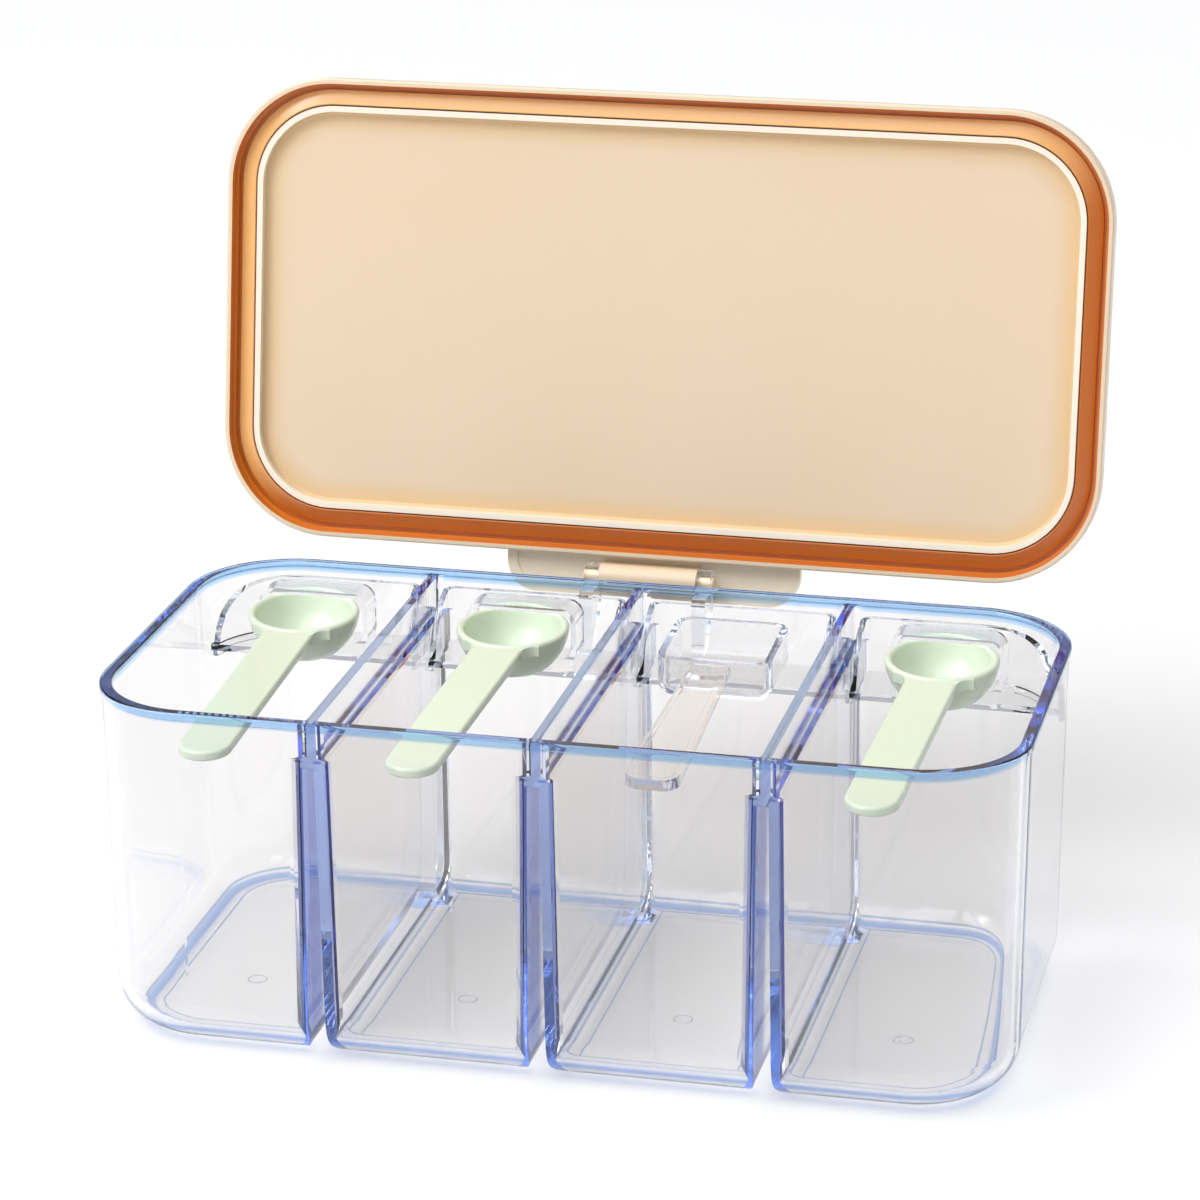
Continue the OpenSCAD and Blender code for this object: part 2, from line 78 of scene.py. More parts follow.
def linear(hexa: str) -> Colour:
    """Turns a screen colour such as "e8dcc4" into the linear light that shaders use.

    Args:
        hexa: six hexadecimal digits, red, green and blue.

    Returns:
        The three linear values.
    """
    parts = [int(hexa[k : k + 2], 16) / 255 for k in (0, 2, 4)]
    return tuple(p / 12.92 if p <= 0.04045 else ((p + 0.055) / 1.055) ** 2.4 for p in parts)


class Bench:
    """Nodes of one material, added and wired one after another."""

    def __init__(self, name: str) -> None:
        """Starts an empty material with its output node."""
        self.material = bpy.data.materials.new(name)
        self.material.use_nodes = True
        self.tree = self.material.node_tree
        self.tree.nodes.clear()
        self.out = self.tree.nodes.new("ShaderNodeOutputMaterial")

    def add(self, kind: str, **settings: object) -> bpy.types.Node:
        """Adds a node; settings are its own properties."""
        node = self.tree.nodes.new(kind)
        for key, value in settings.items():
            setattr(node, key, value)
        return node

    def put(self, node: bpy.types.Node, **values: object) -> bpy.types.Node:
        """Sets sockets by name, with underscores for blanks, or links them if given a socket."""
        for key, value in values.items():
            socket = node.inputs[key.replace("_", " ")]
            if isinstance(value, Socket):
                self.tree.links.new(value, socket)
            elif isinstance(value, tuple) and len(value) == 3 and socket.type == "RGBA":
                socket.default_value = (*value, 1.0)
            else:
                socket.default_value = value
        return node

    def shader(self, **values: object) -> bpy.types.Node:
        """Adds the Principled shader and connects it to the output."""
        node = self.put(self.add("ShaderNodeBsdfPrincipled"), **values)
        self.tree.links.new(node.outputs[0], self.out.inputs["Surface"])
        return node

    def let_light_through(self, colour: Colour) -> None:
        """Lets lamps shine through the surface, tinted by a colour, so its shadow stays pale."""
        solid = self.out.inputs["Surface"].links[0].from_socket
        clear = self.put(self.add("ShaderNodeBsdfTransparent"), Color=colour)
        either = self.add("ShaderNodeMixShader")
        shadow_ray = self.add("ShaderNodeLightPath").outputs["Is Shadow Ray"]
        self.tree.links.new(shadow_ray, either.inputs[0])
        self.tree.links.new(solid, either.inputs[1])
        self.tree.links.new(clear.outputs[0], either.inputs[2])
        self.tree.links.new(either.outputs[0], self.out.inputs["Surface"])

    def noise(self, scale: float, detail: float, stretch: Point = (1, 1, 1)) -> Socket:
        """Noise on Object coordinates.

        Args:
            scale: how many features a metre has.
            detail: how many finer layers it has.
            stretch: factor along each axis.

        Returns:
            The noise's value.
        """
        place = self.add("ShaderNodeTexCoord").outputs["Object"]
        turned = self.put(self.add("ShaderNodeMapping"), Vector=place, Scale=stretch)
        found = self.put(
            self.add("ShaderNodeTexNoise"), Vector=turned.outputs[0], Scale=scale, Detail=detail
        )
        return found.outputs["Fac"]

    def bump(self, height: Socket, strength: float, distance: float) -> Socket:
        """Bends the surface's normal by a height; distance is in metres."""
        node = self.put(
            self.add("ShaderNodeBump"), Height=height, Strength=strength, Distance=distance
        )
        return node.outputs[0]

    def span(self, value: Socket, low: float, high: float) -> Socket:
        """Maps the middle of a noise's range onto low to high."""
        node = self.put(
            self.add("ShaderNodeMapRange"),
            Value=value, From_Min=0.3, From_Max=0.7, To_Min=low, To_Max=high,
        )
        return node.outputs[0]

    def blend(
        self, share: Socket, a: Colour | Socket, b: Colour
    ) -> Socket:
        """Mixes two colours by a share."""
        node = self.add("ShaderNodeMix", data_type="RGBA")
        self.tree.links.new(share, node.inputs[0])
        if isinstance(a, Socket):
            self.tree.links.new(a, node.inputs[6])
        else:
            node.inputs[6].default_value = (*a, 1)
        node.inputs[7].default_value = (*b, 1)
        return node.outputs[2]

    def place(self, shift: Point) -> list[Socket]:
        """Object coordinates less a shift, as three sockets."""
        moved = self.put(
            self.add("ShaderNodeMapping"),
            Vector=self.add("ShaderNodeTexCoord").outputs["Object"],
            Location=tuple(-c for c in shift),
        )
        parts = self.put(self.add("ShaderNodeSeparateXYZ"), Vector=moved.outputs[0])
        return list(parts.outputs)

    def sum(self, kind: str, *terms: float | Socket) -> Socket:
        """Works out one sum, such as "SUBTRACT", of one or two terms."""
        node = self.add("ShaderNodeMath", operation=kind)
        for k, term in enumerate(terms):
            if isinstance(term, Socket):
                self.tree.links.new(term, node.inputs[k])
            else:
                node.inputs[k].default_value = term
        return node.outputs[0]

    def step(self, value: Socket, start: float, end: float) -> Socket:
        """Rises smoothly from 0 at start to 1 at end, whichever of them is larger."""
        node = self.put(
            self.add("ShaderNodeMapRange", interpolation_type="SMOOTHSTEP"),
            Value=value, From_Min=start, From_Max=end,
        )
        return node.outputs[0]

    def along(self, origin: Point, way: Point) -> Socket:
        """Distance from an origin along a direction."""
        spot = self.add("ShaderNodeTexCoord").outputs["Object"]
        moved = self.add("ShaderNodeVectorMath", operation="SUBTRACT")
        self.tree.links.new(spot, moved.inputs[0])
        moved.inputs[1].default_value = origin
        found = self.add("ShaderNodeVectorMath", operation="DOT_PRODUCT")
        self.tree.links.new(moved.outputs[0], found.inputs[0])
        found.inputs[1].default_value = way
        return found.outputs["Value"]

    def beyond(self, value: Socket, half: float) -> Socket:
        """How far a signed distance lies past half on either side, with its sign."""
        inside = self.sum("MAXIMUM", self.sum("MINIMUM", value, half), -half)
        return self.sum("SUBTRACT", value, inside)

    def radius(self, u: Socket, v: Socket) -> Socket:
        """Length of the two distances together."""
        squares = self.sum("ADD", self.sum("MULTIPLY", u, u), self.sum("MULTIPLY", v, v))
        return self.sum("SQRT", squares)

    def near(self, value: Socket, middle: float, width: float) -> Socket:
        """1 close to a middle value, falling to 0 half a width away."""
        gap = self.sum("ABSOLUTE", self.sum("SUBTRACT", value, middle))
        return self.step(gap, width / 2, width / 5)

    def all_of(self, *masks: Socket) -> Socket:
        """Where all the masks are 1."""
        found = masks[0]
        for mask in masks[1:]:
            found = self.sum("MULTIPLY", found, mask)
        return found


@dataclass(frozen=True)
class ClearPlastic:
    """Polished clear plastic: nearly colourless face on, blue where light runs along inside it."""

    name: str
    tint: Colour = (0.965, 0.952, 0.938)
    depth_tint: Colour = (0.02, 0.24, 0.74)
    density: float = 8.0
    ior: float = 1.46
    rough: float = 0.01
    ripple: float = 0.008
    waves: float = 28.0
    ripple_reach: float = 0.002
    gloss: float = 0.5
    shade: Colour = (0.9, 0.895, 0.89)

    def make(self, zones: PaintedLightZones | None = None) -> bpy.types.Material:
        """Builds the material with the faint ripple that moulded walls have.

        Args:
            zones: function from the bench to pairs of a mask and the tint, painted light and shade,
                that it brings.

        Returns:
            The material.
        """
        bench = Bench(self.name)
        waves = bench.noise(self.waves, 1.5, (1, 1, 0.5))
        ripple = bench.bump(waves, self.ripple, self.ripple_reach)
        tint = self.tint
        # Blends in the tints of painted light and shade.
        for mask, hue in zones(bench) if zones else []:
            tint = bench.blend(mask, tint, hue)
        bench.shader(
            Base_Color=tint,
            Roughness=self.rough,
            IOR=self.ior,
            Specular_IOR_Level=self.gloss,
            Transmission_Weight=1.0,
            Normal=ripple,
        )
        bench.let_light_through(self.shade)
        inside = bench.put(
            bench.add("ShaderNodeVolumeAbsorption"), Color=self.depth_tint, Density=self.density
        )
        bench.tree.links.new(inside.outputs[0], bench.out.inputs["Volume"])
        return bench.material


@dataclass(frozen=True)
class SatinPlastic:
    """Moulded satin plastic with a fine grain and slow colour drift."""

    name: str
    light: Colour
    deep: Colour
    rough: float = 0.36
    grain: float = 0.08
    coat: float = 0.15
    glow: float = 0.0
    glow_depth: float = 0.004
    drifts: float = 9.0
    patches: float = 60.0
    grains: float = 2600.0

    def make(self, zones: PaintedLightZones | None = None) -> bpy.types.Material:
        """Builds the material.

        Args:
            zones: function from the bench to pairs of a mask and the colour, painted light and
                shade, that it brings.

        Returns:
            The material.
        """
        bench = Bench(self.name)
        drift = bench.span(bench.noise(self.drifts, 2), 0, 1)
        colour = bench.blend(drift, self.light, self.deep)
        patches = bench.noise(self.patches, 3)
        # Blends in the colours of painted light and shade.
        for mask, hue in zones(bench) if zones else []:
            colour = bench.blend(mask, colour, hue)
        bench.shader(
            Base_Color=colour,
            Roughness=bench.span(patches, self.rough - 0.03, self.rough + 0.04),
            Coat_Weight=self.coat,
            Coat_Roughness=0.2,
            Subsurface_Weight=self.glow,
            Subsurface_Radius=(1.0, 0.85, 0.6),
            Subsurface_Scale=self.glow_depth,
            Normal=bench.bump(bench.noise(self.grains, 2), self.grain, GRAIN_REACH),
        )
        return bench.material


@dataclass(frozen=True)
class Silicone:
    """Smooth amber silicone that lets a little light in, its amber mixed from a light and a deep
    colour by painted light and shade.
    """

    name: str
    light: Colour
    deep: Colour
    rough: float = 0.22
    patches: float = 90.0
    grains: float = 900.0

    def make(self, drift: PaintedShading) -> bpy.types.Material:
        """Builds the material.

        Args:
            drift: function from the bench to the share of the deep colour, which paints the shade.

        Returns:
            The material.
        """
        bench = Bench(self.name)
        patches = bench.noise(self.patches, 2)
        bench.shader(
            # Mixes the light and the deep amber by the painted shade.
            Base_Color=bench.blend(drift(bench), self.light, self.deep),
            Roughness=bench.span(patches, self.rough - 0.04, self.rough + 0.04),
            Subsurface_Weight=0.25,
            Subsurface_Radius=(1.0, 0.5, 0.2),
            Subsurface_Scale=0.003,
            Coat_Weight=0.35,
            Coat_Roughness=0.16,
            Normal=bench.bump(bench.noise(self.grains, 2), 0.05, GRAIN_REACH),
        )
        return bench.material


class Part:
    """Copy of a CAD node's mesh with its triangles joined and its exact normals kept."""

    def __init__(self, node: str, name: str) -> None:
        """Joins the node's loose triangles.

        Args:
            node: the CAD node to copy.
            name: the name of the new piece.
        """
        source = frame["nodes"][node].data
        normals = [Vector(n.vector) for n in source.corner_normals]
        index: dict[tuple[int, int, int], int] = {}
        points: list[Vector] = []
        faces: list[tuple[int, ...]] = []
        corners: list[Vector] = []
        ids = []
        for vertex in source.vertices:
            key = tuple(round(c * WELD_PER_METRE) for c in vertex.co)
            if key not in index:
                index[key] = len(points)
                points.append(vertex.co.copy())
            ids.append(index[key])
        for polygon in source.polygons:
            face = tuple(ids[v] for v in polygon.vertices)
            if len(set(face)) == len(face):
                faces.append(face)
                corners += [normals[k] for k in polygon.loop_indices]
        mesh = bpy.data.meshes.new(name)
        mesh.from_pydata(points, [], faces)
        mesh.polygons.foreach_set("use_smooth", [True] * len(mesh.polygons))
        mesh.normals_split_custom_set(corners)
        self.node = node
        self.piece = bpy.data.objects.new(name, mesh)
        bpy.context.scene.collection.objects.link(self.piece)

    def dress(
        self,
        finishes: list[bpy.types.Material],
        pick: Callable[[Vector, Vector], int] | None = None,
    ) -> None:
        """Gives the piece its materials.

        Args:
            finishes: the materials in slot order.
            pick: function from a face's centre and normal to its slot.
        """
        for finish in finishes:
            self.piece.data.materials.append(finish)
        if pick:
            for polygon in self.piece.data.polygons:
                polygon.material_index = pick(polygon.center, polygon.normal)

    def mount(self, body: str) -> None:
        """Lets the piece ride on its body in place of its node."""
        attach(self.piece, body)
        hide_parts(self.node)
        log.info("%s rides on %s, %d faces", self.piece.name, body, len(self.piece.data.polygons))


class Edge(Enum):
    """Painted tints on the tub's edges: blue painted light where light running inside the plastic
    would come out, deep blue painted shade in the slots, and painted shade along the floor's
    creases.
    """

    # RIM, WEB, ROOF and FOOT are painted light: the blue that light piped inside the plastic shows.
    RIM = (0.40, 0.64, 0.95)
    WEB = (0.55, 0.76, 0.98)
    ROOF = (0.50, 0.62, 0.90)
    # SHOULDER and MOUTH are painted shade in deep blue.
    SHOULDER = (0.14, 0.21, 0.62)
    MOUTH = (0.06, 0.10, 0.46)
    FOOT = (0.24, 0.40, 0.84)
    # CREASE is painted shade along the floor's creases.
    CREASE = (0.28, 0.38, 0.66)


@dataclass
class Tub:
    """The clear tub with its partitions, slots and hinge ears."""

    finish: ClearPlastic = ClearPlastic("tub_clear")
    middle_y: float = -18.70209 * MM
    corner: tuple[float, float] = (99 * MM, 36 * MM)
    pitch: float = 62 * MM
    height: float = 100 * MM
    slot_top: float = 87 * MM
    front: float = -65.5 * MM
    slot_end: float = 45 * MM
    floor_edge: float = 16.2 * MM
    fin_foot: float = 9 * MM
    bend_out: float = 5 * MM
    bend_in: float = 3.4 * MM
    wall_line: float = 0.9 * MM
    fin_line: float = 0.8 * MM

    def painted_edge_light(self, bench: Bench) -> list[tuple[Socket, Colour]]:
        """Finds the edges of the tub and the tints of painted light and shade on them.

        Args:
            bench: the material's bench.

        Returns:
            A mask and a painted tint for each kind of edge.
        """
        x, y, z = bench.place((0, self.middle_y, 0))
        ring = bench.radius(bench.beyond(x, self.corner[0]), bench.beyond(y, self.corner[1]))
        which = bench.sum("ROUND", bench.sum("DIVIDE", x, self.pitch))
        which = bench.sum("MAXIMUM", bench.sum("MINIMUM", which, 1.0), -1.0)
        off = bench.sum("SUBTRACT", x, bench.sum("MULTIPLY", which, self.pitch))
        aside = bench.sum("ABSOLUTE", off)
        top, roof = self.height, self.slot_top
        in_slot = bench.step(y, self.slot_end + 1 * MM, self.slot_end)
        # Painted light: blue on the rim's top.
        rim = bench.all_of(
            bench.step(ring, 25.7 * MM, 26.2 * MM),
            bench.step(ring, 30.9 * MM, 30.3 * MM),
            bench.step(z, top - 3.0 * MM, top - 2.5 * MM),
        )
        # Painted light: blue on the partitions' tops.
        web = bench.all_of(
            bench.step(z, top - 1.4 * MM, top - 1.0 * MM), bench.step(aside, 1.7 * MM, 1.5 * MM)
        )
        # Painted light: blue on the slots' roofs.
        slot_roof = bench.all_of(
            bench.step(aside, 2.4 * MM, 2.1 * MM),
            bench.near(z, roof, 1.0 * MM),
            in_slot,
        )
        # Painted shade: deep blue just above the slots' roofs.
        shoulder = bench.all_of(
            bench.step(aside, 1.45 * MM, 1.6 * MM),
            bench.step(aside, 3.9 * MM, 3.6 * MM),
            bench.near(z, roof + 2 * MM, 1.0 * MM),
            in_slot,
        )
        # Painted shade: deep blue on the left inner face of each slot, near the front only.
        mouth = bench.all_of(
            bench.step(off, -1.1 * MM, -1.3 * MM),
            bench.step(off, -2.8 * MM, -2.5 * MM),
            bench.step(z, roof + 0.4 * MM, roof),
            bench.step(y, self.front + 20 * MM, self.front + 13 * MM),
        )
        # Painted light: a blue band low on the tub's foot.
        foot = bench.all_of(
            bench.step(ring, 19 * MM, 20 * MM),
            bench.step(z, 0.6 * MM, 1.0 * MM),
            bench.step(z, 2.6 * MM, 1.8 * MM),
        )
        low = bench.all_of(bench.step(z, 7.5 * MM, 6.5 * MM), bench.step(z, 2.4 * MM, 2.8 * MM))
        inland = bench.step(ring, self.floor_edge + 0.6 * MM, self.floor_edge - 0.2 * MM)
        # Painted shade: lines along the floor's creases at the walls and at the partitions' feet.
        painted_crease_shade = [
            bench.all_of(bench.near(ring, self.floor_edge + out, self.wall_line), low)
            for out in (0.0, self.bend_out)
        ]
        painted_crease_shade += [
            bench.all_of(bench.near(aside, self.fin_foot - back, self.fin_line), low, inland)
            for back in (0.0, self.bend_in)
        ]
        return [(crease, Edge.CREASE.value) for crease in painted_crease_shade] + [
            (web, Edge.WEB.value),
            (rim, Edge.RIM.value),
            (slot_roof, Edge.ROOF.value),
            (shoulder, Edge.SHOULDER.value),
            (mouth, Edge.MOUTH.value),
            (foot, Edge.FOOT.value),
        ]

    def build(self) -> None:
        """Builds and dresses the tub."""
        part = Part("tub", "tub_shell")
        part.dress([self.finish.make(self.painted_edge_light)])
        part.mount("tub")


@dataclass
class SpoonRests:
    """The four clear inserts that hold the spoons."""

    finish: ClearPlastic = ClearPlastic(
        "rest_clear", tint=(0.985, 0.982, 0.978), density=5.0, ior=1.42
    )

    def build(self) -> None:
        """Builds and dresses each rest."""
        material = self.finish.make()
        for k in range(1, 5):
            part = Part(f"spoon_rest_{k}", f"rest_{k}")
            part.dress([material])
            part.mount("tub")


@dataclass
class Spoons:
    """Three mint spoons and a clear one."""

    mint: SatinPlastic = SatinPlastic(
        "spoon_mint", linear("d6e3d0"), linear("d1dfca"), rough=0.22, grain=0.03, coat=0.5, glow=0.3
    )
    clear: ClearPlastic = ClearPlastic(
        "spoon_clear", tint=(0.975, 0.975, 0.975), density=6.0, ior=1.44, gloss=0.2
    )

    def build(self) -> None:
        """Builds and dresses the four spoons."""
        mint = self.mint.make()
        for k in (1, 2, 4):
            part = Part(f"spoon_{k}", f"mint_spoon_{k}")
            part.dress([mint])
            part.mount(f"spoon_{k}")
        part = Part("spoon_3", "square_spoon")
        part.dress([self.clear.make()])
        part.mount("spoon_3")


class Groove:
    """Geometry Nodes tree that is filled in step by step."""

    def __init__(self, name: str, sizes: dict[str, float]) -> None:
        """Starts a tree with one named input for each size.

        Args:
            name: the tree's name.
            sizes: the inputs' names and values, in metres or radians.
        """
        self.tree = bpy.data.node_groups.new(name, "GeometryNodeTree")
        face = self.tree.interface
        face.new_socket("Geometry", in_out="OUTPUT", socket_type="NodeSocketGeometry")
        self.sizes = sizes
        self.ids: dict[str, str] = {}
        for key in sizes:
            socket = face.new_socket(key, in_out="INPUT", socket_type="NodeSocketFloat")
            self.ids[key] = socket.identifier
        self.given = self.tree.nodes.new("NodeGroupInput")

    def add(self, kind: str, links: dict | None = None, **settings: object) -> bpy.types.Node:
        """Adds a node.

        Args:
            kind: the node's type.
            links: sockets, sizes' names or plain values for its inputs, by name or number.
            settings: the node's own properties.

        Returns:
            The node.
        """
        node = self.tree.nodes.new(kind)
        for key, value in settings.items():
            setattr(node, key, value)
        for key, value in (links or {}).items():
            socket = node.inputs[key]
            if isinstance(value, str) and value in self.ids:
                self.tree.links.new(self.given.outputs[value], socket)
            elif isinstance(value, Socket):
                self.tree.links.new(value, socket)
            else:
                socket.default_value = value
        return node

    def close(self, last: Socket, finish: bpy.types.Material) -> None:
        """Ends the tree with Realize Instances and Set Material."""
        real = self.add("GeometryNodeRealizeInstances", {0: last})
        dressed = self.add("GeometryNodeSetMaterial", {0: real.outputs[0], "Material": finish})
        end = self.tree.nodes.new("NodeGroupOutput")
        self.tree.links.new(dressed.outputs[0], end.inputs[0])

    def make(self, name: str) -> bpy.types.Object:
        """Runs the tree and returns its result as a plain mesh piece."""
        maker = bpy.data.objects.new(name + "_maker", bpy.data.meshes.new(name + "_maker"))
        bpy.context.scene.collection.objects.link(maker)
        modifier = maker.modifiers.new("nodes", "NODES")
        modifier.node_group = self.tree
        for key, value in self.sizes.items():
            modifier[self.ids[key]] = float(value)
        ready = maker.evaluated_get(bpy.context.evaluated_depsgraph_get())
        mesh = bpy.data.meshes.new_from_object(ready)
        maker.modifiers.remove(modifier)
        bpy.data.objects.remove(maker)
        piece = bpy.data.objects.new(name, mesh)
        bpy.context.scene.collection.objects.link(piece)
        return piece


@dataclass
class SealRing:
    """The amber ring in the lid's channel, its face falling away to the outside."""

    # The light amber and the deep amber that paints shade on the ring.
    finish: Silicone = Silicone("seal_amber", linear("f4bb78"), linear("c46c1e"))
    half: tuple[float, float] = (99 * MM, 36 * MM)
    inside: float = 24.05 * MM
    outside: float = 28.45 * MM
    low: float = 100.15 * MM
    high: float = 102.55 * MM
    fall: float = 1.35 * MM
    fillet: float = 0.28 * MM
    bend_steps: int = 40
    edge_steps: int = 4
    sharp: float = math.radians(12)

    @property
    def path_r(self) -> float:
        """Corner radius of the middle of the ring."""
        return (self.inside + self.outside) / 2

    def section(self, tree: Groove) -> Socket:
        """Draws the ring's section, lying on its back as the sweep wants it.

        Args:
            tree: the tree that the nodes go into.

        Returns:
            The rounded section curve.
        """
        half = (self.outside - self.inside) / 2
        section = tree.add("GeometryNodeCurvePrimitiveQuadrilateral", mode="POINTS")
        corners = [
            (-half, -self.high),
            (half, -self.high),
            (half, -self.low - self.fall),
            (-half, -self.low),
        ]
        for k, (u, v) in enumerate(corners):
            section.inputs[f"Point {k + 1}"].default_value = (u, v, 0)
        rounded = tree.add(
            "GeometryNodeFilletCurve",
            {"Curve": section.outputs[0], "Radius": "Edge", "Count": self.edge_steps},
            mode="POLY",
        )
        return rounded.outputs[0]

    def path(self, tree: Groove) -> Socket:
        """Draws the ring's path, flat and with round corners.

        Args:
            tree: the tree that the nodes go into.

        Returns:
            The path curve.
        """
        path = tree.add(
            "GeometryNodeCurvePrimitiveQuadrilateral", {"Width": "Length", "Height": "Width"}
        )
        rounded = tree.add(
            "GeometryNodeFilletCurve",
            {"Curve": path.outputs[0], "Radius": "Corner", "Count": self.bend_steps},
            mode="POLY",
        )
        flat = tree.add("GeometryNodeSetCurveNormal", {0: rounded.outputs[0]}, mode="Z_UP")
        return flat.outputs[0]

    def drift(self, middle: Point, up: Point) -> PaintedShading:
        """Paints light and shade on the ring: the amber is lighter at the front left and darker at
        the back right.

        Args:
            middle: the middle of the open ring.
            up: the direction from the hinge to the lid's free edge.

        Returns:
            The function that makes the drift on a material's bench.
        """

        def share(bench: Bench) -> Socket:
            """The share of the deep colour, the painted shade."""
            u = bench.beyond(bench.along(middle, (1, 0, 0)), self.half[0])
            v = bench.beyond(bench.along(middle, up), self.half[1])
            across = bench.sum("SUBTRACT", bench.sum("MULTIPLY", u, 0.8), v)
            return bench.step(bench.sum("DIVIDE", across, self.path_r), -0.75, 0.75)

        return share

    def build(self, hinge: Point, middle_y: float, swing: float) -> None:
        """Sweeps the section round the path, swings the ring open with the lid and mounts it.

        Args:
            hinge: a point on the hinge's axis.
            middle_y: the tub's middle line.
            swing: the lid's opening in radians.
        """
        turn = Matrix.Rotation(-swing, 4, "X")
        at = Matrix.Translation(hinge) @ turn @ Matrix.Translation(-Vector(hinge))
        sizes = {
            "Length": 2 * (self.half[0] + self.path_r),
            "Width": 2 * (self.half[1] + self.path_r),
            "Corner": self.path_r,
            "Edge": self.fillet,
            "Swing": -swing,
        }
        tree = Groove("seal_path", sizes)
        path = self.path(tree)
        swept = tree.add(
            "GeometryNodeCurveToMesh", {"Curve": path, "Profile Curve": self.section(tree)}
        )
        angle = tree.add("ShaderNodeCombineXYZ", {"X": "Swing"})
        placed = tree.add(
            "GeometryNodeTransform",
            {
                "Geometry": swept.outputs[0],
                "Translation": tuple(at @ Vector((0, middle_y, 0))),
                "Rotation": angle.outputs[0],
            },
        )
        smooth = tree.add(
            "GeometryNodeSetShadeSmooth", {"Geometry": placed.outputs[0], "Shade Smooth": True}
        )
        middle = tuple(at @ Vector((0, middle_y, self.low)))
        up = tuple(turn.to_3x3() @ Vector((0, -1, 0)))
        # The ring takes painted light and shade: lighter at the front left, darker at the back
        # right.
        tree.close(smooth.outputs[0], self.finish.make(self.drift(middle, up)))
        ring = tree.make("seal_ring")
        ring.data.set_sharp_from_angle(angle=self.sharp)
        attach(ring, "lid")
        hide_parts("lid_seal")
        log.info("%s rides on lid, %d faces", ring.name, len(ring.data.polygons))


@dataclass
class GateMarks:
    """Faint rings on the cups' floors, where the plastic was let into the mould."""

    finish: ClearPlastic = ClearPlastic("mark_clear", tint=(0.96, 0.96, 0.96), density=3.0)
    first_x: float = -93 * MM
    gap: float = 62 * MM
    back: float = -38.7 * MM
    floor_z: float = 3.02 * MM
    ring: float = 2.6 * MM
    bead: float = 0.22 * MM
    cups: int = 4

    def build(self) -> None:
        """Sets one ring on the floor of each cup."""
        tree = Groove("gate_marks", {"Ring": self.ring, "Bead": self.bead})
        row = tree.add(
            "GeometryNodeMeshLine",
            {
                "Count": self.cups,
                "Start Location": (self.first_x, self.back, self.floor_z),
                "Offset": (self.gap, 0, 0),
            },
        )
        loop, wire = (
            tree.add("GeometryNodeCurvePrimitiveCircle", {"Resolution": steps, "Radius": size})
            for steps, size in ((40, "Ring"), (10, "Bead"))
        )
        swept = tree.add(
            "GeometryNodeCurveToMesh", {"Curve": loop.outputs[0], "Profile Curve": wire.outputs[0]}
        )
        set_out = tree.add(
            "GeometryNodeInstanceOnPoints", {"Points": row.outputs[0], "Instance": swept.outputs[0]}
        )
        tree.close(set_out.outputs[0], self.finish.make())
        marks = tree.make("gate_marks")
        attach(marks, "tub")
        log.info("%s rides on tub, %d faces", marks.name, len(marks.data.polygons))


class LidFace(Enum):
    """Which finish a face of the lid takes."""

    COVER = 0
    CHANNEL = 1


